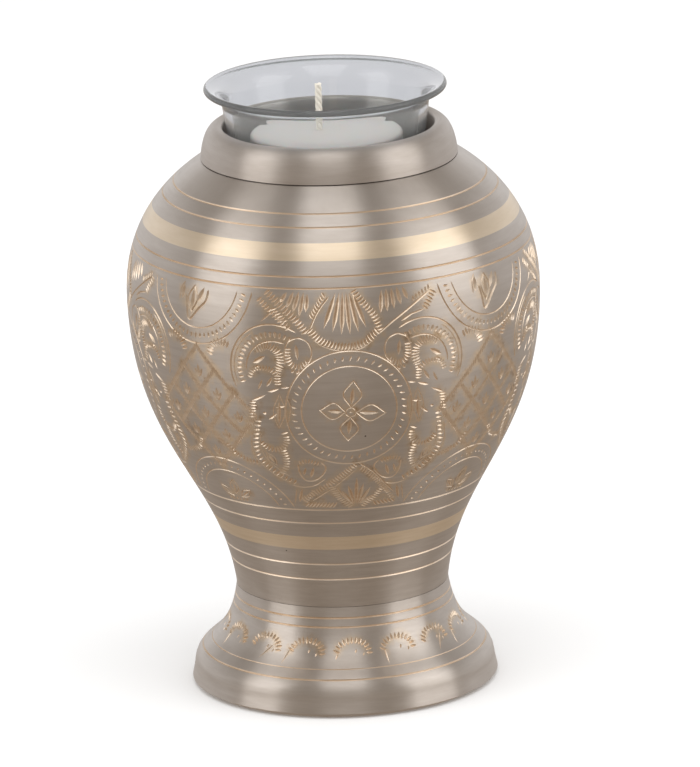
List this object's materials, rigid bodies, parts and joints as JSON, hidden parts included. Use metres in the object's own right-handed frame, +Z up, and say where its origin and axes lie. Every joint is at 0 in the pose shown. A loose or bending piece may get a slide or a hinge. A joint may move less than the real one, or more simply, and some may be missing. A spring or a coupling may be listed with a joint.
{
  "type": "cremation urn",
  "caption": "Small hollow metal urn with an engraved belly on a flared foot, whose lid holds a clear glass candle cup.",
  "frame": {"origin": "centre of the ring on which the foot stands, at the bottom of the whole object", "axes": "+Z up along the axis of the turned metal; the middle of one engraved medallion faces -Y; +X to the right of it"},
  "size_m": [0.103, 0.103, 0.1535],
  "materials": {
    "metal": "brushed pewter-coloured finish over brass, brass showing in the cut lines and polished bands",
    "glass": "clear, smooth",
    "wax": "smooth white wax",
    "wick": "stiff waxed cotton"
  },
  "bodies": {
    "root": {"body": "metal", "foot": "metal", "lid": "metal", "glass_cup": "glass", "candle": "wax", "wick": "wick"}
  },
  "joints": []
}
